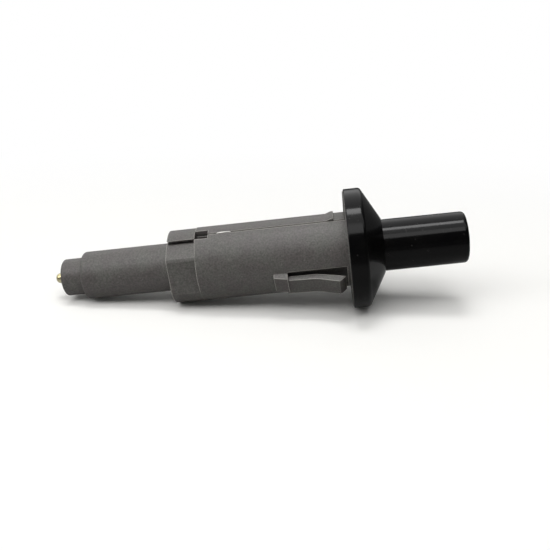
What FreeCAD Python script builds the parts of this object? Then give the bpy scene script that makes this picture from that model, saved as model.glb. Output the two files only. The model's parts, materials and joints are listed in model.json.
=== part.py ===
import FreeCAD, Part
import math
import os
import re

import Sketcher

# Push-button piezo igniter that snaps into a panel.
# X runs along the axis towards the button, Z is up, and the origin is the centre of
# the flange's back face, which is the face that meets the panel.
# Lengths are millimetres and angles are degrees.

os.makedirs("parts", exist_ok=True)
doc = FreeCAD.newDocument("piezo_igniter")

# Driving dimensions
SIZES = {
    # housing, from the flange to the nozzle
    "barrel_dia": 17.6,
    "barrel_len": 35.2,
    "collar_step": 0.05,
    "collar_flat_depth": 1.05,
    "collar_len": 6.8,
    "rear_wall": 0.85,
    "rear_len": 21.7,
    "nozzle_step": 1.3,
    "nozzle_len": 5.2,
    "rear_round": 0.7,
    "nozzle_round": 0.45,
    "flange_dia": 27.3,
    "flange_thick": 0.6,
    "seat_ring": 1.4,
    "seat_ring_lift": 0.15,
    "barrel_wall": 2.2,
    "bore_step": 0.85,
    "spigot_wall": 1.4,
    "spigot_len": 2.5,
    # bezel, whose lip wraps round the flange's edge
    "bezel_lip": 0.4,
    "lip_short": 0.2,
    "rim_thick": 3.4,
    "cone_len": 4.3,
    "neck_wall": 0.3,
    "bezel_web": 2.2,
    "bezel_round": 0.9,
    "fine_round": 0.2,
    # button and plunger
    "button_ledge": 0.4,
    "button_draft": 0.08,
    "button_reach": 19.3,
    "button_edge": 0.9,
    "button_wall": 1.5,
    "button_skirt": 1.4,
    "stroke": 7.0,
    "plunger_wall": 1.1,
    "plunger_depth": 10.4,
    "plunger_end": 2.0,
    # hammer, its pin and its catch
    "hammer_len": 14.5,
    "hammer_edge": 0.4,
    "pin_dia": 2.0,
    "pin_from_back": 1.7,
    "pin_engage": 0.6,
    "catch_from_front": 3.5,
    "catch_depth": 0.8,
    "catch_wire": 0.8,
    "catch_up": 4.6,
    "catch_inset": 0.25,
    # spark element, from the nozzle inwards
    "contact_dia": 2.4,
    "contact_reach": 2.55,
    "head_inset": 0.3,
    "contact_head": 1.4,
    "nozzle_floor": 6.9,
    "backing_thick": 2.4,
    "crystal_len": 6.7,
    "disc_thick": 0.3,
    "anvil_body": 2.5,
    "anvil_flange": 1.2,
    "anvil_gap": 0.3,
    "anvil_nose": 1.3,
    "anvil_nose_gap": 0.6,
    "sleeve_wall": 0.75,
    "damper_thick": 0.9,
    # guide sleeve
    "guide_neck": 3.0,
    "guide_neck_wall": 1.45,
    "guide_len": 28.4,
    "guide_wall": 1.95,
    # springs
    "impact_wire": 0.9,
    "coil_gap": 0.1,
    "impact_turns": 10.0,
    "return_wire": 0.7,
    "return_turns": 5.0,
    "washer_thick": 0.5,
    # snap legs
    "leg_width": 5.0,
    "leg_slot": 1.1,
    "leg_recess_front": 0.6,
    "recess_wall": 0.6,
    "leg_root_above": 3.5,
    "leg_root_below": 1.5,
    "leg_root_rear": 17.5,
    "leg_root_front": 14.3,
    "leg_root_step": 0.45,
    "leg_root_lift": 0.45,
    "leg_stand": 0.65,
    "leg_thick": 1.1,
    "leg_bend": 7.6,
    "leg_lean": 0.28,
    "leg_bend_thick": 1.38,
    "leg_gap": 2.15,
    "leg_slant": 1.1,
    "leg_tip_flat": 0.5,
    "leg_flare": 1.32,
    "leg_inner_flare": 1.42,
    "leg_curve": 9.0,
    # top cover, its rear block and the ground strip
    "cover_width": 5.2,
    "cover_floor": 0.75,
    "block_width": 7.4,
    "block_drop": 0.15,
    "block_lip": 0.15,
    "block_undercut": 0.9,
    "block_rear_gap": 0.25,
    "window_len": 3.1,
    "window_margin": 0.35,
    "window_high": 1.15,
    "barb_height": 0.45,
    "barb_len": 1.9,
    "barb_gap": 2.6,
    "strip_thick": 0.3,
    "tail_width": 1.8,
    "ear_thick": 0.25,
    "ear_len": 3.6,
    "ear_from_window": 2.0,
    "ear_depth": 0.15,
    # clearances
    "slide_gap": 0.1,
    "seat_gap": 0.05,
    "slit_gap": 0.35,
}

# Places and sizes that follow from the driving dimensions
PLACES = {
    "collar_dia": "barrel_dia - 2 * collar_step",
    "collar_flats": "barrel_dia - 2 * collar_flat_depth",
    "collar_front": "-barrel_len",
    "collar_rear": "collar_front - collar_len",
    "rear_end": "collar_rear - rear_len",
    "nozzle_end": "rear_end - nozzle_len",
    "barrel_bore": "barrel_dia - 2 * barrel_wall",
    "collar_bore": "guide_neck_dia + 2 * seat_gap",
    "rear_dia": "collar_bore + 2 * rear_wall",
    "nozzle_dia": "rear_dia - 2 * nozzle_step",
    "spigot_dia": "barrel_bore + 2 * spigot_wall",
    "spigot_end": "flange_thick + spigot_len",
    "lip_bore": "flange_dia + 2 * seat_gap",
    "bezel_dia": "lip_bore + 2 * bezel_lip",
    "rim_front": "flange_thick + rim_thick",
    "neck_end": "rim_front + cone_len",
    "bezel_bore": "button_dia + 2 * slide_gap",
    "neck_dia": "bezel_bore + 2 * neck_wall",
    "web_back": "spigot_end + seat_gap",
    # spark element
    "element_floor": "nozzle_end + nozzle_floor",
    "head_front": "element_floor + contact_head",
    "backing_front": "head_front + backing_thick",
    "crystal_a_front": "backing_front + crystal_len",
    "disc_front": "crystal_a_front + disc_thick",
    "crystal_b_front": "disc_front + crystal_len",
    "anvil_shoulder": "crystal_b_front + anvil_body",
    "anvil_step": "anvil_shoulder + anvil_flange",
    "anvil_face": "anvil_step + anvil_nose",
    "guide_rear": "anvil_step + damper_thick",
    "guide_step": "guide_rear + guide_neck",
    "guide_front": "guide_rear + guide_len",
    "stack_step": "anvil_shoulder - seat_gap",
    "stack_bore": "collar_bore - 2 * bore_step",
    "sleeve_dia": "stack_bore - 2 * seat_gap",
    "sleeve_bore": "sleeve_dia - 2 * sleeve_wall",
    "element_dia": "sleeve_bore - 2 * seat_gap",
    "anvil_flange_dia": "collar_bore - 2 * anvil_gap",
    "anvil_nose_dia": "hammer_bore - 2 * anvil_nose_gap",
    "contact_head_dia": "element_dia - 2 * head_inset",
    # hammer
    "hammer_front": "anvil_face + stroke + seat_gap",
    "hammer_back": "hammer_front + hammer_len",
    "pin_place": "hammer_back - pin_from_back",
    "catch_place": "hammer_front + catch_from_front",
    "guide_dia": "barrel_bore - 2 * seat_gap",
    "guide_bore": "guide_dia - 2 * guide_wall",
    "plunger_dia": "guide_bore - 2 * slide_gap",
    "hammer_bore": "plunger_dia - 2 * plunger_wall",
    "hammer_dia": "hammer_bore - 2 * slide_gap",
    "guide_neck_dia": "hammer_bore + 2 * guide_neck_wall",
    "catch_reach": "hammer_dia / 2 - catch_depth + seat_gap + catch_wire / 2",
    "catch_bow": "guide_dia / 2 - catch_inset - catch_wire / 2 - catch_reach",
    "pin_len": "guide_bore + 2 * pin_engage",
    "slot_width": "pin_dia + 2 * slide_gap",
    "plunger_slot_front": "pin_place - slot_width / 2",
    "plunger_slot_back": "pin_place + stroke + slot_width / 2",
    "plunger_front": "plunger_slot_front - 1.5 * plunger_wall",
    "guide_slot_rear": "pin_place - stroke - slot_width / 2",
    "guide_bore_rear": "catch_place - catch_wire",
    # button
    "skirt_dia": "barrel_bore - 2 * slide_gap",
    "button_dia": "skirt_dia - 2 * button_ledge",
    "skirt_front": "web_back - seat_gap",
    "skirt_rear": "skirt_front - button_skirt",
    "button_end": "neck_end + button_reach",
    "button_end_dia": "button_dia - 2 * button_draft",
    "plunger_back": "skirt_rear + plunger_depth",
    "spring_seat": "plunger_back - plunger_end",
    "washer_face": "spring_seat - washer_thick",
    "button_core": "hammer_dia + plunger_wall",
    "impact_dia": "hammer_dia - impact_wire - 2 * coil_gap",
    "return_dia": "(guide_bore + skirt_dia) / 2",
    # legs, cover and ground strip
    "leg_tip": "-leg_gap",
    "leg_reach": "barrel_dia / 2 + leg_stand",
    "leg_root_reach": "leg_reach + leg_root_lift",
    "leg_bend_reach": "leg_reach + leg_lean",
    "leg_tip_reach": "leg_bend_reach + leg_flare",
    "leg_tip_inner": "leg_bend_reach - leg_bend_thick + leg_inner_flare",
    "cover_seat": "barrel_bore / 2 + cover_floor",
    "block_seat": "(collar_flats / 2 - block_width / 4) / cos(30 deg)",
    "block_radius": "barrel_dia / 2 - block_drop",
    "block_under": "sqrt(block_radius ^ 2 - (block_width / 2) ^ 2) - block_lip",
    "window_low": "block_width / 2 + window_margin",
    "window_front": "collar_front + window_len",
    "strip_half": "cover_width / 2 + slit_gap - seat_gap",
    "strip_top": "cover_seat + strip_thick",
    "tail_front": "anvil_step",
    "tail_rear": "anvil_step - strip_thick",
}

sizes = doc.addObject("Spreadsheet::Sheet", "sizes")
places = doc.addObject("Spreadsheet::Sheet", "places")


def ex(text):
    """Writes plain names as references to the two sheets."""
    def swap(match):
        word = match.group(0)
        if word in SIZES:
            return "sizes." + word
        if word in PLACES:
            return "places." + word
        return word
    return re.sub(r"[A-Za-z_]\w*", swap, text)


def fill_sheets():
    for row, (name, number) in enumerate(SIZES.items(), start=1):
        sizes.set("A%d" % row, name)
        sizes.set("B%d" % row, str(number))
        sizes.setAlias("B%d" % row, name)
    doc.recompute()
    for row, (name, formula) in enumerate(PLACES.items(), start=1):
        places.set("A%d" % row, name)
        places.setAlias("B%d" % row, name)
    for row, (name, formula) in enumerate(PLACES.items(), start=1):
        places.set("B%d" % row, "=" + ex(formula).replace("places.", ""))
    doc.recompute()


def value(name):
    """The number behind a name, from whichever sheet holds it."""
    sheet = sizes if name in SIZES else places
    return float(sheet.get(name))


# Sketching helpers
def new_body(label):
    body = doc.addObject("PartDesign::Body", label)
    body.Label = label
    return body


def origin_plane(body, role):
    found = [item for item in body.Origin.OriginFeatures if item.Role == role]
    return found[0]


def new_sketch(body, name, role, shift="0", turn=None):
    """A sketch on an origin plane, moved along the plane's normal and turned about its own X."""
    sketch = body.newObject("Sketcher::SketchObject", name)
    sketch.AttachmentSupport = [(origin_plane(body, role), "")]
    sketch.MapMode = "FlatFace"
    if turn is not None:
        sketch.AttachmentOffset = FreeCAD.Placement(
            FreeCAD.Vector(0, 0, 0), FreeCAD.Rotation(FreeCAD.Vector(1, 0, 0), turn))
    sketch.setExpression("AttachmentOffset.Base.z", ex(shift))
    return sketch


def bind(sketch, kind, geometry, point, text):
    """Ties one coordinate of a point, or a diameter, to an expression."""
    if kind == "Diameter":
        constraint = Sketcher.Constraint(kind, geometry, 2.0)
    else:
        spot = sketch.getPoint(geometry, point)
        now = spot.x if kind == "DistanceX" else spot.y
        constraint = Sketcher.Constraint(kind, -1, 1, geometry, point, now)
    index = sketch.addConstraint(constraint)
    sketch.setExpression("Constraints[%d]" % index, ex(text))


def add_outline(sketch, corners):
    """A closed outline whose corners are pairs of expressions."""
    count = len(corners)
    first = sketch.GeometryCount
    spots = []
    for index in range(count):
        turn = 2 * math.pi * index / count
        spots.append(FreeCAD.Vector(10 * math.cos(turn), 10 * math.sin(turn), 0))
    for index in range(count):
        sketch.addGeometry(Part.LineSegment(spots[index], spots[(index + 1) % count]), False)
    for index in range(count):
        following = first + (index + 1) % count
        sketch.addConstraint(Sketcher.Constraint("Coincident", first + index, 2, following, 1))
    for index, (across, up) in enumerate(corners):
        bind(sketch, "DistanceX", first + index, 1, across)
        bind(sketch, "DistanceY", first + index, 1, up)


def add_rectangle(sketch, left, right, low, high):
    add_outline(sketch, [(left, low), (right, low), (right, high), (left, high)])


def add_circle(sketch, across, up, diameter):
    geometry = sketch.addGeometry(
        Part.Circle(FreeCAD.Vector(1, 1, 0), FreeCAD.Vector(0, 0, 1), 1), False)
    bind(sketch, "DistanceX", geometry, 3, across)
    bind(sketch, "DistanceY", geometry, 3, up)
    bind(sketch, "Diameter", geometry, None, diameter)


# Feature helpers
def turned(body, name, corners, cut=False):
    """Turns a half section, given as x and radius, about the part's axis."""
    sketch = new_sketch(body, name + "_section", "XZ_Plane")
    add_outline(sketch, corners)
    kind = "PartDesign::Groove" if cut else "PartDesign::Revolution"
    feature = body.newObject(kind, name)
    feature.Profile = sketch
    feature.ReferenceAxis = (sketch, ["H_Axis"])
    feature.Angle = 360
    sketch.Visibility = False
    return feature


def extruded(body, name, sketch, length, cut=False, middle=False, back=False):
    """Pads or pockets a sketch by a length, to one side or about its plane."""
    feature = body.newObject("PartDesign::Pocket" if cut else "PartDesign::Pad", name)
    feature.Profile = sketch
    feature.setExpression("Length", ex(length))
    feature.SideType = "Symmetric" if middle else "One side"
    feature.Reversed = back
    sketch.Visibility = False
    return feature


def circles_at(shape, place, radius):
    """Names of the round edges about the axis at one place with one radius."""
    names = []
    for index, edge in enumerate(shape.Edges, start=1):
        curve = edge.Curve
        if not isinstance(curve, Part.Circle):
            continue
        off_axis = math.hypot(curve.Center.y, curve.Center.z)
        if off_axis < 1e-6 and abs(curve.Center.x - place) < 1e-6:
            if abs(curve.Radius - radius) < 1e-6:
                names.append("Edge%d" % index)
    return names


def bend_edges(shape, turn, reaches):
    """Names of the edges across a leg at its bend, at given distances from the axis."""
    outward = FreeCAD.Vector(0, math.cos(math.radians(turn)), math.sin(math.radians(turn)))
    spots = [outward * reach + FreeCAD.Vector(-value("leg_bend"), 0, 0) for reach in reaches]
    names = []
    for index, edge in enumerate(shape.Edges, start=1):
        if min(edge.CenterOfMass.distanceToPoint(spot) for spot in spots) < 1e-6:
            names.append("Edge%d" % index)
    return names


def eased(body, name, base, rims, size, flat=False):
    """Rounds or chamfers the rims, each a place and a diameter given by name."""
    doc.recompute()
    names = []
    for place, diameter in rims:
        names += circles_at(base.Shape, value(place), value(diameter) / 2)
    feature = body.newObject("PartDesign::Chamfer" if flat else "PartDesign::Fillet", name)
    feature.Base = (base, names)
    feature.setExpression("Size" if flat else "Radius", ex(size))
    return feature


def half(text):
    return "(" + text + ") / 2"


# Housing: nozzle, rear cylinder, flatted collar, barrel, flange, spigot and snap legs
def make_housing():
    body = new_body("housing")
    shell = turned(body, "housing_turned", [
        ("nozzle_end", "0"),
        ("nozzle_end", half("nozzle_dia")),
        ("rear_end", half("nozzle_dia")),
        ("rear_end", half("rear_dia")),
        ("collar_rear", half("rear_dia")),
        ("collar_rear", half("collar_dia")),
        ("collar_front", half("collar_dia")),
        ("collar_front", half("barrel_dia")),
        ("seat_ring_lift", half("barrel_dia")),
        ("seat_ring_lift", half("flange_dia") + " - seat_ring"),
        ("0", half("flange_dia") + " - seat_ring"),
        ("0", half("flange_dia")),
        ("flange_thick", half("flange_dia")),
        ("flange_thick", half("spigot_dia")),
        ("spigot_end", half("spigot_dia")),
        ("spigot_end", "0"),
    ])
    tip = eased(body, "nozzle_end_round", shell, [("nozzle_end", "nozzle_dia")], "nozzle_round")
    eased(body, "rear_end_round", tip, [("rear_end", "rear_dia")], "rear_round")

    # Flats of the collar: upright at the sides, sloping to a ridge at the top, round below
    sketch = new_sketch(body, "collar_flats_outline", "YZ_Plane", "collar_rear")
    add_rectangle(sketch, "-1.5 * barrel_dia", "1.5 * barrel_dia",
                  "-1.5 * barrel_dia", "1.5 * barrel_dia")
    add_outline(sketch, [
        (half("-collar_flats"), "-barrel_dia"),
        (half("collar_flats"), "-barrel_dia"),
        (half("collar_flats"), half("collar_flats") + " * tan(30 deg)"),
        ("0", half("collar_flats") + " / cos(30 deg)"),
        (half("-collar_flats"), half("collar_flats") + " * tan(30 deg)"),
    ])
    extruded(body, "collar_flats", sketch, "collar_len", cut=True, back=True)

    # Seat of the top cover along the barrel and of its block over the collar
    sketch = new_sketch(body, "cover_seat_outline", "YZ_Plane", "collar_front")
    add_rectangle(sketch, half("-cover_width") + " - slit_gap", half("cover_width") + " + slit_gap",
                  "cover_seat", "barrel_dia")
    extruded(body, "cover_groove", sketch, "barrel_len", cut=True, back=True)
    sketch = new_sketch(body, "block_seat_outline", "YZ_Plane", "collar_rear")
    add_rectangle(sketch, "-barrel_dia", "barrel_dia", "block_seat", "barrel_dia")
    extruded(body, "block_seat", sketch, "collar_len", cut=True, back=True)

    # Stepped bore for the spark element, the guide sleeve and the button's skirt
    turned(body, "bores", [
        ("nozzle_end - 1", "0"),
        ("nozzle_end - 1", half("contact_dia")),
        ("element_floor", half("contact_dia")),
        ("element_floor", half("stack_bore")),
        ("stack_step", half("stack_bore")),
        ("stack_step", half("collar_bore")),
        ("guide_step", half("collar_bore")),
        ("guide_step", half("barrel_bore")),
        ("spigot_end + 1", half("barrel_bore")),
        ("spigot_end + 1", "0"),
    ], cut=True)

    # Slot that leads the ground strip's tail down to the anvil
    sketch = new_sketch(body, "tail_slot_outline", "XZ_Plane")
    add_rectangle(sketch, "tail_rear - slide_gap", "tail_front + slide_gap",
                  half("anvil_flange_dia") + " - 1", "barrel_dia")
    extruded(body, "tail_slot", sketch, "tail_width + 2 * slide_gap", cut=True, middle=True)

    # Window beside the cover at the barrel's rear end
    sketch = new_sketch(body, "window_outline", "XY_Plane", "barrel_wall")
    add_rectangle(sketch, "collar_front", "window_front", "-window_low", "-window_high")
    extruded(body, "window", sketch, "barrel_dia", cut=True, back=True)
    add_legs(body)
    return body


def add_legs(body):
    """Two sprung legs over recesses in the barrel's wall, on either side below the axis."""
    for side, turn, spans in (("near", 210, ("leg_root_below", "leg_root_above")),
                              ("far", -30, ("leg_root_above", "leg_root_below"))):
        recess = new_sketch(body, side + "_leg_recess_outline", "XY_Plane", turn=turn)
        add_rectangle(recess, "-leg_root_front", "-leg_recess_front",
                      half("barrel_bore") + " + recess_wall", "barrel_dia")
        extruded(body, side + "_leg_recess", recess, "leg_width + 2 * leg_slot", cut=True, middle=True)
        root = new_sketch(body, side + "_leg_root_outline", "XY_Plane", turn=turn)
        add_outline(root, [
            ("-leg_root_rear", half("barrel_bore") + " + barrel_wall / 2"),
            ("-leg_root_rear", half("barrel_dia") + " + leg_root_step"),
            ("-leg_root_front", "leg_root_reach"),
            ("-leg_root_front", half("barrel_bore") + " + barrel_wall / 2"),
        ])
        pad = extruded(body, side + "_leg_root", root, spans[0])
        pad.SideType = "Two sides"
        pad.setExpression("Length2", ex(spans[1]))
        blade = new_sketch(body, side + "_leg_outline", "XY_Plane", turn=turn)
        add_outline(blade, [
            ("-leg_root_front - barrel_wall / 4", "leg_reach - leg_thick"),
            ("-leg_root_front - barrel_wall / 4", "leg_reach"),
            ("-leg_bend", "leg_bend_reach"),
            ("leg_tip - leg_tip_flat", "leg_tip_reach"),
            ("leg_tip", "leg_tip_reach - leg_tip_flat / 2"),
            ("leg_tip + leg_slant", "leg_tip_inner"),
            ("-leg_bend", "leg_bend_reach - leg_bend_thick"),
        ])
        leg = extruded(body, side + "_leg", blade, "leg_width", middle=True)
        doc.recompute()
        outside = value("leg_bend_reach")
        bends = bend_edges(leg.Shape, turn, (outside, outside - value("leg_bend_thick")))
        curve = body.newObject("PartDesign::Fillet", side + "_leg_curve")
        curve.Base = (leg, bends)
        curve.setExpression("Radius", ex("leg_curve"))


# Top cover: a strip let into the barrel with a block over the collar and a barb at its front
def make_top_cover():
    body = new_body("top_cover")
    sketch = new_sketch(body, "strip_section", "YZ_Plane", "collar_front")
    add_rectangle(sketch, half("-cover_width"), half("cover_width"),
                  "strip_top + seat_gap", "barrel_dia")
    extruded(body, "strip", sketch, "barrel_len - seat_gap")
    sketch = new_sketch(body, "block_section", "YZ_Plane", "collar_rear + block_rear_gap")
    web = half("block_width") + " - block_undercut"
    add_outline(sketch, [
        ("-(" + web + ")", "block_seat + seat_gap"),
        (web, "block_seat + seat_gap"),
        (web, "block_under"),
        (half("block_width"), "block_under"),
        (half("block_width"), "barrel_dia"),
        (half("-block_width"), "barrel_dia"),
        (half("-block_width"), "block_under"),
        ("-(" + web + ")", "block_under"),
    ])
    extruded(body, "block", sketch, "collar_len - block_rear_gap")
    sketch = new_sketch(body, "tail_channel_section", "YZ_Plane", "tail_rear - slide_gap")
    add_rectangle(sketch, half("-tail_width") + " - slide_gap", half("tail_width") + " + slide_gap",
                  "0", "strip_top + seat_gap")
    extruded(body, "tail_channel", sketch, "barrel_len", cut=True, back=True)
    turned(body, "outer_round", [
        ("collar_rear - 1", "block_radius"),
        ("collar_front", "block_radius"),
        ("collar_front", half("barrel_dia")),
        ("-barb_gap - barb_len", half("barrel_dia")),
        ("-barb_gap - barb_len / 3", half("barrel_dia") + " + barb_height"),
        ("-barb_gap", half("barrel_dia") + " + barb_height"),
        ("-barb_gap", half("barrel_dia")),
        ("1", half("barrel_dia")),
        ("1", "2 * barrel_dia"),
        ("collar_rear - 1", "2 * barrel_dia"),
    ], cut=True)
    sketch = new_sketch(body, "cover_window_outline", "XY_Plane", "0")
    add_rectangle(sketch, "collar_front", "window_front", "-window_low", "-window_high")
    extruded(body, "cover_window", sketch, "barrel_dia", cut=True, back=True)
    return body


# Ground strip: lies under the cover, turns up beside it and reaches down to the anvil
def make_ground_strip():
    body = new_body("ground_strip")
    sketch = new_sketch(body, "strip_plan", "XY_Plane", "cover_seat")
    wide_rear = "window_front + slide_gap"
    add_outline(sketch, [
        ("tail_rear", half("-tail_width")),
        (wide_rear, half("-tail_width")),
        (wide_rear, "-strip_half"),
        ("-seat_gap", "-strip_half"),
        ("-seat_gap", "strip_half"),
        (wide_rear, "strip_half"),
        (wide_rear, half("tail_width")),
        ("tail_rear", half("tail_width")),
    ])
    extruded(body, "flat", sketch, "strip_thick")
    sketch = new_sketch(body, "tail_outline", "XZ_Plane")
    add_rectangle(sketch, "tail_rear", "tail_front",
                  half("anvil_flange_dia") + " + seat_gap", "strip_top")
    extruded(body, "tail", sketch, "tail_width", middle=True)
    for side, name in ((1, "far_ear"), (-1, "near_ear")):
        sketch = new_sketch(body, name + "_section", "YZ_Plane", "window_front + ear_from_window")
        add_rectangle(sketch, "%d * strip_half" % side, "%d * (strip_half - ear_thick)" % side,
                      "cover_seat", "sqrt((barrel_dia / 2) ^ 2 - strip_half ^ 2) - ear_depth")
        extruded(body, name, sketch, "ear_len")
    return body


# Bezel: glossy rim and cone round the button, with a recess behind the rim
def make_bezel():
    body = new_body("bezel")
    hub = half("spigot_dia") + " + seat_gap"
    cone = turned(body, "bezel_turned", [
        ("flange_thick", hub),
        ("flange_thick", half("lip_bore")),
        ("lip_short", half("lip_bore")),
        ("lip_short", half("bezel_dia")),
        ("rim_front", half("bezel_dia")),
        ("neck_end", half("neck_dia")),
        ("neck_end", half("bezel_bore")),
        ("web_back", half("bezel_bore")),
        ("web_back", hub),
    ])
    rim = eased(body, "rim_round", cone, [("rim_front", "bezel_dia")], "bezel_round")
    eased(body, "bezel_fine_rounds", rim,
          [("lip_short", "bezel_dia"), ("neck_end", "neck_dia")], "fine_round")
    turned(body, "rim_recess", [
        ("flange_thick - 1", hub + " + bezel_web"),
        ("flange_thick - 1", half("bezel_dia") + " - bezel_web"),
        ("flange_thick + rim_thick / 2", half("bezel_dia") + " - bezel_web"),
        ("rim_front", hub + " + bezel_web"),
    ], cut=True)
    return body


# Button: a deep cap with a retaining lip on its skirt
def make_button():
    body = new_body("button")
    cap = turned(body, "button_turned", [
        ("skirt_rear", half("plunger_dia") + " + seat_gap"),
        ("skirt_rear", half("skirt_dia")),
        ("skirt_front", half("skirt_dia")),
        ("skirt_front", half("button_dia")),
        ("neck_end", half("button_dia")),
        ("button_end", half("button_dia") + " - button_draft"),
        ("button_end", "0"),
        ("button_end - button_wall", "0"),
        ("button_end - button_wall", half("button_core")),
        ("plunger_back", half("button_core")),
        ("plunger_back", half("plunger_dia") + " + seat_gap"),
    ])
    eased(body, "button_round", cap, [("button_end", "button_end_dia")], "button_edge")
    return body


# Plunger: a tube that carries the button's push to the impact spring
def make_plunger():
    body = new_body("plunger")
    tube = turned(body, "plunger_turned", [
        ("plunger_front", half("hammer_bore")),
        ("plunger_front", half("plunger_dia")),
        ("plunger_back", half("plunger_dia")),
        ("plunger_back", "0"),
        ("spring_seat", "0"),
        ("spring_seat", half("hammer_bore")),
    ])
    eased(body, "spreading_cone", tube, [("plunger_front", "plunger_dia")],
          "plunger_wall / 2", flat=True)
    sketch = new_sketch(body, "plunger_slot_outline", "XZ_Plane")
    add_rectangle(sketch, "plunger_slot_front", "plunger_slot_back",
                  half("-slot_width"), half("slot_width"))
    extruded(body, "plunger_slot", sketch, "2 * plunger_dia", cut=True, middle=True)
    return body


# Guide sleeve: a stepped nylon tube, slotted for the hammer pin and for the catch
def make_guide_sleeve():
    body = new_body("guide_sleeve")
    turned(body, "guide_turned", [
        ("guide_rear", half("hammer_bore")),
        ("guide_rear", half("guide_neck_dia")),
        ("guide_step", half("guide_neck_dia")),
        ("guide_step", half("guide_dia")),
        ("guide_front", half("guide_dia")),
        ("guide_front", half("guide_bore")),
        ("guide_bore_rear", half("guide_bore")),
        ("guide_bore_rear", half("hammer_bore")),
    ])
    sketch = new_sketch(body, "guide_slot_outline", "XZ_Plane")
    add_rectangle(sketch, "guide_slot_rear", "guide_front + 1",
                  half("-slot_width"), half("slot_width"))
    extruded(body, "guide_slot", sketch, "2 * barrel_bore", cut=True, middle=True)
    sketch = new_sketch(body, "catch_slot_outline", "XZ_Plane")
    add_rectangle(sketch, "catch_place - catch_wire * 0.8", "catch_place + catch_wire * 0.8",
                  half("-barrel_bore"), "catch_up + catch_wire / 2")
    extruded(body, "catch_slot", sketch, "hammer_bore + 3 * catch_wire", cut=True, middle=True)
    return body


# Hammer: a steel slug with a cross hole and a catch groove
def make_hammer():
    body = new_body("hammer")
    slug = turned(body, "hammer_turned", [
        ("hammer_front", "0"),
        ("hammer_front", half("hammer_dia")),
        ("catch_place - catch_wire * 0.65", half("hammer_dia")),
        ("catch_place - catch_wire * 0.65", half("hammer_dia") + " - catch_depth"),
        ("catch_place + catch_wire * 0.65", half("hammer_dia") + " - catch_depth"),
        ("catch_place + catch_wire * 0.65", half("hammer_dia")),
        ("hammer_back", half("hammer_dia")),
        ("hammer_back", "0"),
    ])
    eased(body, "hammer_ends", slug,
          [("hammer_front", "hammer_dia"), ("hammer_back", "hammer_dia")], "hammer_edge", flat=True)
    sketch = new_sketch(body, "cross_hole_outline", "XZ_Plane")
    add_circle(sketch, "pin_place", "0", "pin_dia")
    extruded(body, "cross_hole", sketch, "2 * hammer_dia", cut=True, middle=True)
    return body


def make_hammer_pin():
    body = new_body("hammer_pin")
    sketch = new_sketch(body, "pin_outline", "XZ_Plane")
    add_circle(sketch, "pin_place", "0", "pin_dia")
    extruded(body, "pin", sketch, "pin_len", middle=True)
    return body


# Catch: a wire hairpin whose legs grip the groove until the plunger spreads them
def make_catch_spring():
    body = new_body("catch_spring")
    path = new_sketch(body, "catch_path", "YZ_Plane", "catch_place")
    far = path.addGeometry(Part.LineSegment(FreeCAD.Vector(3, 4, 0), FreeCAD.Vector(3, -3, 0)), False)
    centre = FreeCAD.Vector(0, -3, 0)
    bow = path.addGeometry(
        Part.ArcOfCircle(Part.Circle(centre, FreeCAD.Vector(0, 0, 1), 3), math.pi, 2 * math.pi), False)
    near = path.addGeometry(Part.LineSegment(FreeCAD.Vector(-3, -3, 0), FreeCAD.Vector(-3, 4, 0)), False)
    path.addConstraint(Sketcher.Constraint("Coincident", far, 2, bow, 2))
    path.addConstraint(Sketcher.Constraint("Coincident", bow, 1, near, 1))
    bind(path, "DistanceX", far, 1, "catch_reach")
    bind(path, "DistanceY", far, 1, "catch_up")
    bind(path, "DistanceX", far, 2, "catch_reach")
    bind(path, "DistanceY", near, 1, "-catch_bow")
    bind(path, "DistanceX", near, 2, "-catch_reach")
    bind(path, "DistanceY", near, 2, "catch_up")
    bind(path, "DistanceX", bow, 3, "0")
    bind(path, "DistanceY", bow, 3, "-catch_bow")
    bind(path, "DistanceY", far, 2, "-catch_bow")
    section = new_sketch(body, "catch_wire_section", "XY_Plane", "catch_up")
    add_circle(section, "catch_place", "catch_reach", "catch_wire")
    pipe = body.newObject("PartDesign::AdditivePipe", "catch")
    pipe.Profile = section
    pipe.Spine = (path, ["Edge1", "Edge2", "Edge3"])
    return body


# Springs wound round the axis between two places
def make_spring(label, rear, front, wire, mean, turns):
    body = new_body(label)
    section = new_sketch(body, label + "_wire_section", "XZ_Plane")
    add_circle(section, rear + " + " + wire + " / 2", half(mean), wire)
    coil = body.newObject("PartDesign::AdditiveHelix", label + "_coil")
    coil.Profile = section
    coil.ReferenceAxis = (section, ["H_Axis"])
    coil.Mode = "height-turns-angle"
    coil.setExpression("Height", ex("%s - (%s) - %s" % (front, rear, wire)))
    coil.setExpression("Turns", ex(turns))
    return body


# Spark element: turned and pressed pieces in line between the nozzle and the hammer
def make_contact_pin():
    body = new_body("contact_pin")
    pin = turned(body, "contact_turned", [
        ("nozzle_end - contact_reach", "0"),
        ("nozzle_end - contact_reach", half("contact_dia")),
        ("element_floor", half("contact_dia")),
        ("element_floor", half("contact_head_dia")),
        ("head_front", half("contact_head_dia")),
        ("head_front", "0"),
    ])
    doc.recompute()
    names = circles_at(pin.Shape, value("nozzle_end") - value("contact_reach"), value("contact_dia") / 2)
    dome = body.newObject("PartDesign::Fillet", "contact_dome")
    dome.Base = (pin, names)
    dome.setExpression("Radius", ex("contact_dia * 0.4"))
    return body


def make_disc(label, rear, front, outer, inner=None):
    """A plain disc, cylinder or ring about the axis."""
    body = new_body(label)
    low = half(inner) if inner else "0"
    turned(body, label + "_turned",
           [(rear, low), (rear, half(outer)), (front, half(outer)), (front, low)])
    return body


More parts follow.
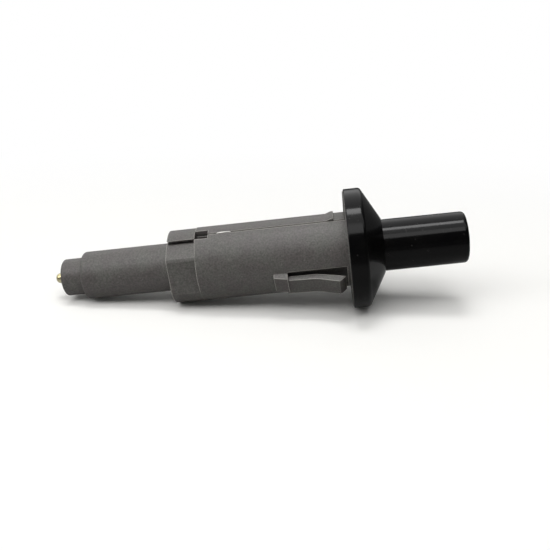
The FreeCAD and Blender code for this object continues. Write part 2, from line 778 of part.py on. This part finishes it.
def make_anvil():
    body = new_body("anvil")
    turned(body, "anvil_turned", [
        ("crystal_b_front", "0"),
        ("crystal_b_front", half("element_dia")),
        ("anvil_shoulder", half("element_dia")),
        ("anvil_shoulder", half("anvil_flange_dia")),
        ("anvil_step", half("anvil_flange_dia")),
        ("anvil_step", half("anvil_nose_dia")),
        ("anvil_face", half("anvil_nose_dia")),
        ("anvil_face", "0"),
    ])
    return body


def make_spark_element():
    return [
        make_contact_pin(),
        make_disc("backing_cap", "head_front", "backing_front", "element_dia"),
        make_disc("piezo_rear", "backing_front", "crystal_a_front", "element_dia"),
        make_disc("middle_disc", "crystal_a_front", "disc_front", "element_dia"),
        make_disc("piezo_front", "disc_front", "crystal_b_front", "element_dia"),
        make_anvil(),
        make_disc("stack_sleeve", "element_floor", "stack_step", "sleeve_dia", "sleeve_bore"),
        make_disc("damping_ring", "anvil_step", "guide_rear",
                  "collar_bore - 2 * seat_gap", "anvil_nose_dia + 2 * seat_gap"),
    ]


def write_parts(bodies):
    """Writes each piece once everything has been worked out without a fault."""
    doc.recompute()
    for item in doc.Objects:
        if "Invalid" in item.State or "Error" in item.State:
            raise RuntimeError("%s failed: %s" % (item.Name, item.State))
    for body in bodies:
        if body.Shape.isNull() or not body.Shape.isValid():
            raise RuntimeError("%s has no valid shape" % body.Label)
    for body in bodies:
        body.Shape.exportStep("parts/%s.step" % body.Label)
        print(body.Label, len(body.Shape.Solids), round(body.Shape.Volume, 2))


fill_sheets()
pieces = [
    make_housing(),
    make_top_cover(),
    make_ground_strip(),
    make_bezel(),
    make_button(),
    make_plunger(),
    make_disc("spring_washer", "washer_face", "spring_seat", "hammer_dia"),
    make_spring("impact_spring", "hammer_back", "washer_face",
                "impact_wire", "impact_dia", "impact_turns"),
    make_spring("return_spring", "guide_front", "skirt_rear",
                "return_wire", "return_dia", "return_turns"),
    make_guide_sleeve(),
    make_catch_spring(),
    make_hammer(),
    make_hammer_pin(),
]
pieces += make_spark_element()
write_parts(pieces)
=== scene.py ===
import json
import math

import bpy
import numpy as np
from mathutils import Matrix, Vector


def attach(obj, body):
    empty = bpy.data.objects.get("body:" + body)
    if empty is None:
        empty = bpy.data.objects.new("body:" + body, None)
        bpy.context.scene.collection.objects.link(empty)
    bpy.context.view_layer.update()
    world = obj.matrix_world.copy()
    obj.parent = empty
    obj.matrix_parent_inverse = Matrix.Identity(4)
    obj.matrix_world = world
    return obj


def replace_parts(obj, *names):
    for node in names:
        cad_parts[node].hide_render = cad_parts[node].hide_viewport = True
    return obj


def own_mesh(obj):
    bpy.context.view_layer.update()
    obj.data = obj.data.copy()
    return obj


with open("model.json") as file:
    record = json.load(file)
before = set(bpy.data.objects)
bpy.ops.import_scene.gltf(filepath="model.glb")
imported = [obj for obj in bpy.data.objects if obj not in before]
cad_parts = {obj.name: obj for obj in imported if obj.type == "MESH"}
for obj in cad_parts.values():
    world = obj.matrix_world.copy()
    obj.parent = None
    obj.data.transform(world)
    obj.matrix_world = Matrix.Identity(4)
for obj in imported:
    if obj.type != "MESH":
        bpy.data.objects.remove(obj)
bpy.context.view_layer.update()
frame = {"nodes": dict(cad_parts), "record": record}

# The igniter lies on the rim of its bezel and on the underside of its collar.
RIM_REST = Vector((0.00038, 0.0, -0.0141))
COLLAR_REST = Vector((-0.042, 0.0, -0.00875))

# Places along the axis, in metres
HAMMER_BACK = -0.01795
WASHER_FACE = 0.0096
GUIDE_FRONT = -0.0115
SKIRT_REAR = 0.0017

# The near ear of the ground strip, in metres
EAR_MIDDLE = -0.0283
EAR_LENGTH = 0.0036
EAR_INNER = -0.00265
EAR_OUTER = -0.0029
EAR_FOOT = 0.0081
EAR_RISE = 0.0004

# The catch's hairpin, in metres; its legs lie at the reach, and at the open reach when the
# button is pressed. A squash only draws in, so each half is drawn towards an anchor far outside.
CATCH_PLACE = -0.02895
CATCH_WIRE = 0.0008
CATCH_REACH = 0.00295
CATCH_OPEN_REACH = 0.00495
CATCH_UP = 0.0046
CATCH_ANCHOR = 0.1

# Colours of the floor: as the camera sees it, and as the part sees it
PAPER = (0.93, 0.925, 0.9, 1)
PAPER_BOUNCE = (0.42, 0.42, 0.415, 1)

# The camera, fitted to the part's outline in the picture
PICTURE_PIXELS = 550.0
FOCAL_PIXELS = 726.5
SENSOR_WIDTH = 36.0
CAMERA_PLACE = Vector((-0.002685, -0.16131, 0.06354))
CAMERA_AHEAD = Vector((-0.08704, 0.91714, -0.38895))
CAMERA_UP = Vector((0.09941, 0.39648, 0.91265))


# Node helpers
def put(tree, kind, inputs=None, **settings):
    """Adds a node. An input is a plain value, or the socket that feeds it."""
    made = tree.nodes.new(kind)
    for name, setting in settings.items():
        setattr(made, name, setting)
    for name, source in (inputs or {}).items():
        if isinstance(source, bpy.types.NodeSocket):
            tree.links.new(source, made.inputs[name])
        else:
            made.inputs[name].default_value = source
    return made


def maths(tree, operation, first, second):
    """One sum between two numbers or sockets."""
    return put(tree, "ShaderNodeMath", {0: first, 1: second}, operation=operation).outputs[0]


def spread(tree, value, low, high, to_low=0.0, to_high=1.0):
    """Stretches a range of values to another one, with soft ends."""
    made = put(tree, "ShaderNodeMapRange",
               {"Value": value, "From Min": low, "From Max": high,
                "To Min": to_low, "To Max": to_high}, interpolation_type="SMOOTHSTEP")
    return made.outputs["Result"]


def blended(tree, share, first, second):
    """Mixes two colours by a share."""
    made = put(tree, "ShaderNodeMix", {0: share, 6: first, 7: second}, data_type="RGBA")
    return made.outputs[2]


def new_group(name, inputs, outputs):
    """A node group with named inputs, each with its usual value, and named outputs."""
    group = bpy.data.node_groups.new(name, "ShaderNodeTree")
    for label, usual in inputs.items():
        socket = group.interface.new_socket(label, in_out="INPUT", socket_type="NodeSocketFloat")
        socket.default_value = usual
    for label, kind in outputs.items():
        group.interface.new_socket(label, in_out="OUTPUT", socket_type=kind)
    given = group.nodes.new("NodeGroupInput").outputs
    out = group.nodes.new("NodeGroupOutput").inputs
    return group, given, out


def use(tree, group, **values):
    """Places a group in a material; underscores in the names stand for spaces."""
    made = tree.nodes.new("ShaderNodeGroup")
    made.node_tree = group
    for name, value in values.items():
        made.inputs[name.replace("_", " ")].default_value = value
    return made.outputs


# Shared effects
def moulded_skin_group():
    """Spark-eroded mould texture: fine grain, broad mottling and scattered pale specks."""
    group, given, out = new_group(
        "moulded_skin",
        {"Grain Scale": 2400.0, "Mottle Scale": 240.0, "Speck Scale": 1500.0},
        {"Grain": "NodeSocketFloat", "Mottle": "NodeSocketFloat", "Specks": "NodeSocketFloat"})
    place = put(group, "ShaderNodeTexCoord").outputs["Object"]
    grain = put(group, "ShaderNodeTexNoise",
                {"Vector": place, "Scale": given["Grain Scale"], "Detail": 4.0, "Roughness": 0.62})
    mottle = put(group, "ShaderNodeTexNoise",
                 {"Vector": place, "Scale": given["Mottle Scale"], "Detail": 5.0, "Roughness": 0.55})
    cells = put(group, "ShaderNodeTexVoronoi", {"Vector": place, "Scale": given["Speck Scale"]})
    chosen = put(group, "ShaderNodeSeparateColor", {"Color": cells.outputs["Color"]}).outputs["Red"]
    near = spread(group, cells.outputs["Distance"], 0.12, 0.26, 1.0, 0.0)
    few = spread(group, chosen, 0.86, 0.9)
    group.links.new(grain.outputs["Fac"], out["Grain"])
    group.links.new(mottle.outputs["Fac"], out["Mottle"])
    group.links.new(maths(group, "MULTIPLY", near, few), out["Specks"])
    return group


def edge_wear_and_painted_light_group():
    """Where a surface turns sharply within a short width, as rubbed wear that also stands in for a
    painted edge highlight;
    where it is hollow, as a mask for painted shade; and the normal with its edges rounded."""
    group, given, out = new_group(
        "edge_wear_and_painted_light",
        {"Width": 0.00035, "Break Scale": 900.0, "Break Depth": 0.5},
        {"Wear And Highlight": "NodeSocketFloat", "Hollow": "NodeSocketFloat", "Normal": "NodeSocketVector"})
    rounded = put(group, "ShaderNodeBevel", {"Radius": given["Width"]},
                  samples=8).outputs["Normal"]
    flat = put(group, "ShaderNodeNewGeometry").outputs["Normal"]
    agree = put(group, "ShaderNodeVectorMath", {0: rounded, 1: flat},
                operation="DOT_PRODUCT").outputs["Value"]
    turn = spread(group, agree, 0.995, 0.86)
    open_side = put(group, "ShaderNodeAmbientOcclusion", {"Distance": given["Width"]},
                    samples=8).outputs["AO"]
    outward = spread(group, open_side, 0.8, 0.98)
    place = put(group, "ShaderNodeTexCoord").outputs["Object"]
    broken = put(group, "ShaderNodeTexNoise",
                 {"Vector": place, "Scale": given["Break Scale"], "Detail": 3.0}).outputs["Fac"]
    kept = maths(group, "SUBTRACT", 1.0, maths(group, "MULTIPLY", broken, given["Break Depth"]))
    edge = maths(group, "MULTIPLY", turn, outward)
    # The edge mask is partly rubbed wear and partly a painted highlight along edges.
    group.links.new(maths(group, "MULTIPLY", edge, kept), out["Wear And Highlight"])
    # The hollow mask marks where painted shade goes, in gaps and seams.
    group.links.new(spread(group, open_side, 0.45, 0.8, 1.0, 0.0), out["Hollow"])
    group.links.new(rounded, out["Normal"])
    return group


def drawn_lines_group():
    """Fine parallel lines along the piece or across it, and broad smudges."""
    group, given, out = new_group(
        "drawn_lines",
        {"Along X": 200.0, "Across": 9000.0},
        {"Lines": "NodeSocketFloat", "Smudges": "NodeSocketFloat"})
    place = put(group, "ShaderNodeTexCoord").outputs["Object"]
    scale = put(group, "ShaderNodeCombineXYZ",
                {"X": given["Along X"], "Y": given["Across"], "Z": given["Across"]}).outputs[0]
    squeezed = put(group, "ShaderNodeVectorMath", {0: place, 1: scale},
                   operation="MULTIPLY").outputs[0]
    lines = put(group, "ShaderNodeTexNoise", {"Vector": squeezed, "Scale": 1.0, "Detail": 2.0})
    smudges = put(group, "ShaderNodeTexNoise", {"Vector": place, "Scale": 420.0, "Detail": 4.0})
    group.links.new(lines.outputs["Fac"], out["Lines"])
    group.links.new(smudges.outputs["Fac"], out["Smudges"])
    return group


SKIN = moulded_skin_group()
EDGE = edge_wear_and_painted_light_group()
LINES = drawn_lines_group()


def begin(name, **sockets):
    """A material with its shader; plain values go on the shader's own sockets."""
    made = bpy.data.materials.new(name)
    made.use_nodes = True
    tree = made.node_tree
    shader = tree.nodes["Principled BSDF"]
    for label, value in sockets.items():
        shader.inputs[label.replace("_", " ")].default_value = value
    return made, tree, shader


def bumped(tree, shader, height, strength, depth, normal=None):
    """Feeds a height to the shader through a Bump node."""
    inputs = {"Height": height, "Strength": strength, "Distance": depth}
    if normal is not None:
        inputs["Normal"] = normal
    bump = put(tree, "ShaderNodeBump", inputs)
    tree.links.new(bump.outputs["Normal"], shader.inputs["Normal"])


# Finishes
def moulded_finish(name, deep, pale, pale_wear_and_highlight, rough, grain_depth, specks=0.15):
    """Matt moulding whose colour drifts, with pale specks, edges painted pale for rubbed wear and a
    painted highlight, and painted shade in gaps.
    """
    made, tree, shader = begin(name)
    skin_out = use(tree, SKIN)
    edge_out = use(tree, EDGE, Width=0.0004, Break_Depth=0.35)
    drift = spread(tree, skin_out["Mottle"], 0.35, 0.65)
    colour = blended(tree, drift, deep, pale)
    fine = spread(tree, skin_out["Grain"], 0.3, 0.7, 0.72, 1.28)
    colour = put(tree, "ShaderNodeVectorMath", {0: colour, 1: fine},
                 operation="MULTIPLY").outputs[0]
    speck = maths(tree, "MULTIPLY", skin_out["Specks"], specks)
    colour = blended(tree, speck, colour, pale_wear_and_highlight)
    # Edges painted pale: partly rubbed wear, partly a painted highlight.
    colour = blended(tree, edge_out["Wear And Highlight"], colour, pale_wear_and_highlight)
    # Painted shade: near black where the surface is hollow, in gaps and seams between pieces.
    painted_shade = maths(tree, "MULTIPLY", edge_out["Hollow"], 0.75)
    colour = blended(tree, painted_shade, colour, (0.012, 0.012, 0.011, 1))
    tree.links.new(colour, shader.inputs["Base Color"])
    roughness = spread(tree, skin_out["Mottle"], 0.2, 0.8, rough - 0.06, rough + 0.06)
    tree.links.new(roughness, shader.inputs["Roughness"])
    bumped(tree, shader, skin_out["Grain"], 0.55, grain_depth, edge_out["Normal"])
    return made


def gloss_black():
    """Polished black plastic with a faint orange peel, hairline scratches and a little dust."""
    made, tree, shader = begin("gloss_black", Specular_IOR_Level=0.15)
    skin_out = use(tree, SKIN, Grain_Scale=1400.0, Mottle_Scale=160.0, Speck_Scale=1100.0)
    edge_out = use(tree, EDGE, Width=0.00025, Break_Depth=0.2)
    hair = use(tree, LINES, Along_X=700.0, Across=5200.0)
    drift = spread(tree, skin_out["Mottle"], 0.3, 0.75)
    colour = blended(tree, drift, (0.0015, 0.0015, 0.0018, 1), (0.003, 0.0029, 0.0028, 1))
    dust = maths(tree, "MULTIPLY", skin_out["Specks"], 0.05)
    colour = blended(tree, dust, colour, (0.3, 0.29, 0.28, 1))
    tree.links.new(colour, shader.inputs["Base Color"])
    scratched = spread(tree, hair["Lines"], 0.58, 0.75, 0.0, 0.09)
    hazed = spread(tree, skin_out["Mottle"], 0.35, 0.8, 0.1, 0.16)
    tree.links.new(maths(tree, "ADD", scratched, hazed), shader.inputs["Roughness"])
    bumped(tree, shader, skin_out["Grain"], 0.12, 0.00003, edge_out["Normal"])
    return made


def nylon_finish(name, deep, pale, rough):
    """Smooth nylon that lets a little light in, with a fine grain."""
    made, tree, shader = begin(name, Subsurface_Weight=0.15, Subsurface_Scale=0.001)
    skin_out = use(tree, SKIN, Grain_Scale=2600.0, Mottle_Scale=180.0)
    edge_out = use(tree, EDGE, Width=0.0002)
    colour = blended(tree, spread(tree, skin_out["Mottle"], 0.3, 0.7), deep, pale)
    tree.links.new(colour, shader.inputs["Base Color"])
    roughness = spread(tree, skin_out["Grain"], 0.2, 0.8, rough - 0.05, rough + 0.08)
    tree.links.new(roughness, shader.inputs["Roughness"])
    bumped(tree, shader, skin_out["Grain"], 0.25, 0.00003, edge_out["Normal"])
    return made


def metal_finish(name, deep, pale, rough, along, across, groove=0.00001):
    """Bare or plated metal whose lines run round the axis or along it."""
    made, tree, shader = begin(name, Metallic=1.0)
    lines_out = use(tree, LINES, Along_X=along, Across=across)
    edge_out = use(tree, EDGE, Width=0.00015)
    smudge = spread(tree, lines_out["Smudges"], 0.35, 0.7)
    colour = blended(tree, smudge, deep, pale)
    # Edges painted paler where the mask of rubbed wear and painted edge highlight is high.
    bright = (min(1.0, pale[0] * 1.2), min(1.0, pale[1] * 1.2), min(1.0, pale[2] * 1.2), 1)
    colour = blended(tree, maths(tree, "MULTIPLY", edge_out["Wear And Highlight"], 0.6), colour, bright)
    tree.links.new(colour, shader.inputs["Base Color"])
    streak = spread(tree, lines_out["Lines"], 0.3, 0.7, rough - 0.08, rough + 0.1)
    dull = maths(tree, "MULTIPLY", smudge, -0.06)
    tree.links.new(maths(tree, "ADD", streak, dull), shader.inputs["Roughness"])
    bumped(tree, shader, lines_out["Lines"], 0.3, groove, edge_out["Normal"])
    return made


def piezo_ceramic():
    """Fired ceramic: faintly granular, with darker pores."""
    made, tree, shader = begin("piezo_ceramic")
    skin_out = use(tree, SKIN, Grain_Scale=4200.0, Mottle_Scale=320.0, Speck_Scale=2600.0)
    colour = blended(tree, spread(tree, skin_out["Mottle"], 0.3, 0.7),
                     (0.52, 0.48, 0.37, 1), (0.66, 0.62, 0.5, 1))
    pores = maths(tree, "MULTIPLY", skin_out["Specks"], 0.6)
    colour = blended(tree, pores, colour, (0.3, 0.27, 0.2, 1))
    tree.links.new(colour, shader.inputs["Base Color"])
    roughness = spread(tree, skin_out["Grain"], 0.25, 0.75, 0.34, 0.5)
    tree.links.new(roughness, shader.inputs["Roughness"])
    bumped(tree, shader, skin_out["Grain"], 0.3, 0.00002)
    return made


FINISHES = {
    "housing_grey": moulded_finish(
        "housing_grey", (0.079, 0.071, 0.068, 1), (0.088, 0.086, 0.078, 1),
        pale_wear_and_highlight=(0.42, 0.4, 0.37, 1), rough=0.5, grain_depth=0.00005),
    "gloss_black": gloss_black(),
    "white_nylon": nylon_finish(
        "white_nylon", (0.7, 0.69, 0.64, 1), (0.8, 0.79, 0.75, 1), rough=0.42),
    # Painted shade: the inner pieces seen through the slots are coloured near black, so the slots
    # look as dark as shade.
    "dark_nylon": nylon_finish(
        "dark_nylon", (0.018, 0.018, 0.018, 1), (0.03, 0.03, 0.029, 1), rough=0.5),
    "insulating_sleeve": nylon_finish(
        "insulating_sleeve", (0.5, 0.48, 0.44, 1), (0.6, 0.58, 0.54, 1), rough=0.5),
    "damping_rubber": moulded_finish(
        "damping_rubber", (0.03, 0.03, 0.03, 1), (0.05, 0.05, 0.048, 1),
        pale_wear_and_highlight=(0.12, 0.12, 0.12, 1), rough=0.7, grain_depth=0.00004, specks=0.2),
    "tinned_steel": metal_finish(
        "tinned_steel", (0.5, 0.49, 0.47, 1), (0.7, 0.69, 0.66, 1),
        rough=0.46, along=300.0, across=7000.0, groove=0.000004),
    "zinc_steel": metal_finish(
        "zinc_steel", (0.5, 0.51, 0.53, 1), (0.66, 0.66, 0.67, 1),
        rough=0.36, along=6000.0, across=500.0),
    "spring_steel": metal_finish(
        "spring_steel", (0.3, 0.3, 0.31, 1), (0.5, 0.5, 0.5, 1),
        rough=0.3, along=2500.0, across=2500.0),
    "hammer_steel": metal_finish(
        "hammer_steel", (0.42, 0.41, 0.4, 1), (0.56, 0.56, 0.55, 1),
        rough=0.32, along=9000.0, across=400.0),
    "contact_brass": metal_finish(
        "contact_brass", (0.56, 0.49, 0.27, 1), (0.8, 0.75, 0.52, 1),
        rough=0.3, along=9000.0, across=500.0),
    "piezo_ceramic": piezo_ceramic(),
}

SLOTS = {part["node"]: part["material_slot"] for part in frame["record"]["subparts"]}
for node, piece in frame["nodes"].items():
    piece.data.materials.clear()
    piece.data.materials.append(FINISHES[SLOTS[node]])


# New pieces
def mesh_piece(name, points, faces, body, finish):
    """Puts arrays of points and faces into a smooth mesh that rides on a body."""
    mesh = bpy.data.meshes.new(name)
    mesh.from_pydata(points.tolist(), [], faces)
    mesh.polygons.foreach_set("use_smooth", np.ones(len(mesh.polygons), dtype=bool))
    mesh.update()
    piece = bpy.data.objects.new(name, mesh)
    bpy.context.scene.collection.objects.link(piece)
    mesh.materials.append(FINISHES[finish])
    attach(piece, body)
    return piece


def swept_faces(steps, around):
    """Faces between the rings of a swept shape, with a cap at each end."""
    first = np.arange(steps)[:, None] * around + np.arange(around)[None, :]
    after = np.arange(steps)[:, None] * around + (np.arange(around)[None, :] + 1) % around
    quads = np.stack([first, after, after + around, first + around], axis=2).reshape(-1, 4)
    start_cap = list(range(around))[::-1]
    end_cap = list(range(steps * around, (steps + 1) * around))
    return quads.tolist() + [start_cap, end_cap]


def round_wire(name, centre, radial, wire, body):
    """A round wire along a line of points, ended by flat caps.

    Each section is centre + wire / 2 (cos b radial + sin b other) for b from 0 to 2 pi, where
    radial is a direction across the line and other is the line's direction crossed with it.
    """
    around = 16
    along = np.gradient(centre, axis=0)
    along /= np.linalg.norm(along, axis=1, keepdims=True)
    other = np.cross(along, radial)
    beta = 2 * np.pi * np.arange(around) / around
    ring = (np.cos(beta)[None, :, None] * radial[:, None, :]
            + np.sin(beta)[None, :, None] * other[:, None, :])
    points = (centre[:, None, :] + ring * wire / 2).reshape(-1, 3)
    return mesh_piece(name, points, swept_faces(len(centre) - 1, around), body, "spring_steel")


def wound_spring(name, rear, front, mean, wire, turns, body):
    """A compression spring with one closed turn at each end.

    The centre line is (x(t), R cos 2 pi t, R sin 2 pi t) for t from 0 to the number of turns.
    x(t) climbs one wire a turn over the closed turns and evenly between them.
    """
    steps = int(turns * 48)
    t = np.linspace(0.0, turns, steps + 1)
    free = front - rear - wire
    climb = (free - 2 * wire) / (turns - 2)
    slope = np.where((t < 1) | (t > turns - 1), wire, climb)
    x = np.concatenate(([0.0], np.cumsum((slope[1:] + slope[:-1]) / 2) * turns / steps))
    x = rear + wire / 2 + x * free / x[-1]
    turn = 2 * np.pi * t
    radial = np.stack([np.zeros_like(t), np.cos(turn), np.sin(turn)], axis=1)
    centre = radial * mean / 2
    centre[:, 0] = x
    return round_wire(name, centre, radial, wire, body)


def catch_half(name, side):
    """One half of the catch: an upright leg and its share of the bow, past the middle.

    The leg is (CATCH_PLACE, side R, z) for z from CATCH_UP down to -R. The bow is
    (CATCH_PLACE, side R cos a, -R - R sin a) for a from 0 to just past the middle, so far that
    the two halves still meet when both have moved apart. R is CATCH_REACH.
    """
    leg = np.linspace(CATCH_UP, -CATCH_REACH, 12)
    far_off = CATCH_REACH + CATCH_ANCHOR
    keep = 1 - (CATCH_OPEN_REACH - CATCH_REACH) / CATCH_ANCHOR
    last = math.acos(-far_off * (1 - keep) / keep / CATCH_REACH)
    bow = np.linspace(0.0, last, 30)[1:]
    y = side * CATCH_REACH * np.concatenate((np.ones(len(leg)), np.cos(bow)))
    z = np.concatenate((leg, -CATCH_REACH - CATCH_REACH * np.sin(bow)))
    centre = np.stack([np.full_like(y, CATCH_PLACE), y, z], axis=1)
    radial = np.tile([1.0, 0.0, 0.0], (len(y), 1))
    half = round_wire(name, centre, radial, CATCH_WIRE, "base")
    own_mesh(half)
    return half


def ear_lip():
    """The top of the ground strip's near ear, which shows as a bright line beside the cover.

    It is a low arch as thick as the ear: its foot lies at EAR_FOOT and its top at
    EAR_FOOT + EAR_RISE sqrt(1 - u^4) for u from -0.99 to 0.99 along the ear.
    """
    u = np.linspace(-0.99, 0.99, 29)
    x = EAR_MIDDLE + u * EAR_LENGTH / 2
    top = EAR_FOOT + EAR_RISE * np.sqrt(1 - u ** 4)
    y = np.tile([EAR_INNER, EAR_INNER, EAR_OUTER, EAR_OUTER], (len(u), 1))
    z = np.stack([np.full_like(u, EAR_FOOT), top, top, np.full_like(u, EAR_FOOT)], axis=1)
    points = np.stack([np.repeat(x[:, None], 4, axis=1), y, z], axis=2).reshape(-1, 3)
    return mesh_piece("near_ear_lip", points, swept_faces(len(u) - 1, 4), "base", "tinned_steel")


ear_lip()

impact_coil = wound_spring("impact_coil", HAMMER_BACK, WASHER_FACE,
                           mean=0.0055, wire=0.0009, turns=10, body="button")
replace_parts(impact_coil, "impact_spring")
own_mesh(impact_coil)

return_coil = wound_spring("return_coil", GUIDE_FRONT, SKIRT_REAR,
                           mean=0.0111, wire=0.0007, turns=5, body="base")
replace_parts(return_coil, "return_spring")
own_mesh(return_coil)

# The plunger pushes the catch's two legs apart, clear of its own wall.
for name, side in (("near_catch", -1), ("far_catch", 1)):
    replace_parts(catch_half(name, side), "catch_spring")


# Floor, lamps and camera
def floor_frame():
    """The floor's own axes: along the part's length, across it, and up from the floor."""
    along = (RIM_REST - COLLAR_REST).normalized()
    across = Vector((0, 1, 0))
    up = along.cross(across)
    return along, across, up


def pale_floor():
    """A wide pale dish: flat to 1.6 m from the part, then rising gently to 2.8 m."""
    radii = np.concatenate((np.linspace(0, 0.4, 9), np.linspace(0.5, 2.8, 24)))
    rise = 0.42 * np.clip((radii - 1.6) / 1.2, 0, 1) ** 2
    turn = 2 * np.pi * np.arange(96) / 96
    along, across, up = (np.array(axis) for axis in floor_frame())
    ring = np.cos(turn)[:, None] * along + np.sin(turn)[:, None] * across
    points = radii[1:, None, None] * ring[None] + rise[1:, None, None] * up
    middle = np.array(RIM_REST + COLLAR_REST) / 2
    points = np.concatenate(([[0.0, 0.0, 0.0]], points.reshape(-1, 3))) + middle
    count = len(turn)
    rings = len(radii) - 1
    step = np.arange(count)
    following = (step + 1) % count
    faces = [[0, 1 + a, 1 + b] for a, b in zip(step.tolist(), following.tolist())]
    for ring_index in range(rings - 1):
        inner = 1 + ring_index * count
        quads = np.stack([inner + step, inner + count + step,
                          inner + count + following, inner + following], axis=1)
        faces += quads.tolist()
    mesh = bpy.data.meshes.new("floor")
    mesh.from_pydata(points.tolist(), [], faces)
    mesh.polygons.foreach_set("use_smooth", np.ones(len(mesh.polygons), dtype=bool))
    floor = bpy.data.objects.new("floor", mesh)
    bpy.context.scene.collection.objects.link(floor)
    mesh.materials.append(floor_finish(middle))


def floor_finish(middle):
    """Pale paper that takes shadows near the part and shows evenly white further out.

    Mirrored rays meet the white part of it dimmed, as the bezel mirrors a dark room.
    """
    made, tree, shader = begin("pale_floor", Roughness=0.85, Specular_IOR_Level=0.2)
    path = put(tree, "ShaderNodeLightPath").outputs
    bounced = maths(tree, "MULTIPLY", path["Is Diffuse Ray"], 0.65)
    bounced = maths(tree, "MAXIMUM", bounced, path["Is Glossy Ray"])
    tone = blended(tree, bounced, PAPER, PAPER_BOUNCE)
    tree.links.new(tone, shader.inputs["Base Color"])
    place = put(tree, "ShaderNodeTexCoord").outputs["Object"]
    away = put(tree, "ShaderNodeVectorMath", {0: place, 1: tuple(middle)},
               operation="SUBTRACT").outputs[0]
    flattened = put(tree, "ShaderNodeVectorMath", {0: away, 1: (0.62, 1.0, 1.0)},
                    operation="MULTIPLY").outputs[0]
    reach = put(tree, "ShaderNodeVectorMath", {0: flattened}, operation="LENGTH").outputs["Value"]
    open_floor = spread(tree, reach, 0.035, 0.16)
    seen = maths(tree, "MAXIMUM", path["Is Camera Ray"], path["Is Glossy Ray"])
    seen = maths(tree, "MAXIMUM", seen, path["Is Transmission Ray"])
    strength = maths(tree, "SUBTRACT", 1.0, maths(tree, "MULTIPLY", path["Is Glossy Ray"], 0.88))
    backdrop = put(tree, "ShaderNodeEmission",
                   {"Color": (1, 1, 1, 1), "Strength": strength}).outputs[0]
    share = maths(tree, "MULTIPLY", open_floor, seen)
    paper = put(tree, "ShaderNodeMixShader",
                {0: share, 1: shader.outputs[0], 2: backdrop}).outputs[0]
    clear = put(tree, "ShaderNodeBsdfTransparent").outputs[0]
    behind = put(tree, "ShaderNodeNewGeometry").outputs["Backfacing"]
    whole = put(tree, "ShaderNodeMixShader", {0: behind, 1: paper, 2: clear}).outputs[0]
    tree.links.new(whole, tree.nodes["Material Output"].inputs["Surface"])
    return made


def soft_lamp(name, lean, distance, wide, long, power, shift=0.0, side=0.0):
    """A soft box over the part, moved along it by shift.

    It is turned from straight up towards the viewer by lean degrees and towards the button by
    side degrees.
    """
    data = bpy.data.lights.new(name, "AREA")
    data.shape = "RECTANGLE"
    data.size, data.size_y = long, wide
    data.energy = power
    lamp = bpy.data.objects.new(name, data)
    bpy.context.scene.collection.objects.link(lamp)
    towards = Vector((math.tan(math.radians(side)), -math.tan(math.radians(lean)), 1)).normalized()
    across = (Vector((1, 0, 0)) - towards * towards.x).normalized()
    upward = towards.cross(across)
    middle = Vector((-0.02 + shift, 0, 0)) + towards * distance
    turn = Matrix((across, upward, towards)).transposed().to_4x4()
    lamp.matrix_world = Matrix.Translation(middle) @ turn
    lamp.visible_camera = False


def studio_air():
    """The room's light by direction: pale behind, dark on the viewer's and the button's side.

    Mirrored rays meet a brighter room high up behind and a darker one in front. The camera
    sees plain white.
    """
    world = bpy.data.worlds.new("studio")
    bpy.context.scene.world = world
    world.use_nodes = True
    tree = world.node_tree
    towards = put(tree, "ShaderNodeTexCoord").outputs["Generated"]
    facing = put(tree, "ShaderNodeVectorMath", {0: towards, 1: (0.0, -1.0, 0.0)},
                 operation="DOT_PRODUCT").outputs["Value"]
    path = put(tree, "ShaderNodeLightPath").outputs
    height = put(tree, "ShaderNodeSeparateXYZ", {"Vector": towards}).outputs["Z"]
    mirrored = maths(tree, "MULTIPLY", path["Is Glossy Ray"], spread(tree, height, 0.1, 0.4))
    behind = maths(tree, "ADD", mirrored, 0.4)
    before = maths(tree, "SUBTRACT", 0.28, maths(tree, "MULTIPLY", path["Is Glossy Ray"], 0.22))
    depth = spread(tree, facing, -0.45, 0.45, behind, before)
    sideways = put(tree, "ShaderNodeVectorMath", {0: towards, 1: (1.0, 0.0, 0.0)},
                   operation="DOT_PRODUCT").outputs["Value"]
    strength = maths(tree, "MULTIPLY", depth, spread(tree, sideways, 0.2, 0.75, 1.0, 0.12))
    seen = maths(tree, "MAXIMUM", path["Is Camera Ray"], path["Is Transmission Ray"])
    strength = maths(tree, "MAXIMUM", strength, seen)
    tree.nodes["Background"].inputs["Color"].default_value = (1, 1, 1, 1)
    tree.links.new(strength, tree.nodes["Background"].inputs["Strength"])


def photo_camera():
    """The camera's place and tilt, worked out from the part's outline in the picture."""
    data = bpy.data.cameras.new("camera")
    data.sensor_width = SENSOR_WIDTH
    data.lens = SENSOR_WIDTH * FOCAL_PIXELS / PICTURE_PIXELS
    data.clip_start, data.clip_end = 0.01, 20.0
    camera = bpy.data.objects.new("camera", data)
    bpy.context.scene.collection.objects.link(camera)
    ahead = CAMERA_AHEAD.normalized()
    right = ahead.cross(CAMERA_UP).normalized()
    up = right.cross(ahead)
    turn = Matrix((right, up, -ahead)).transposed().to_4x4()
    camera.matrix_world = Matrix.Translation(CAMERA_PLACE) @ turn
    bpy.context.scene.camera = camera


pale_floor()
studio_air()
soft_lamp("strip_light", lean=-4.0, distance=0.9, wide=0.19, long=0.35, power=2.3, shift=0.06)
soft_lamp("high_soft_box", lean=12.0, distance=1.0, wide=0.36, long=1.9, power=3.7, side=10.0)
soft_lamp("front_soft_box", lean=32.0, distance=1.0, wide=0.36, long=1.9, power=7.0, side=-20.0)
photo_camera()

bpy.context.scene.view_settings.view_transform = "Standard"
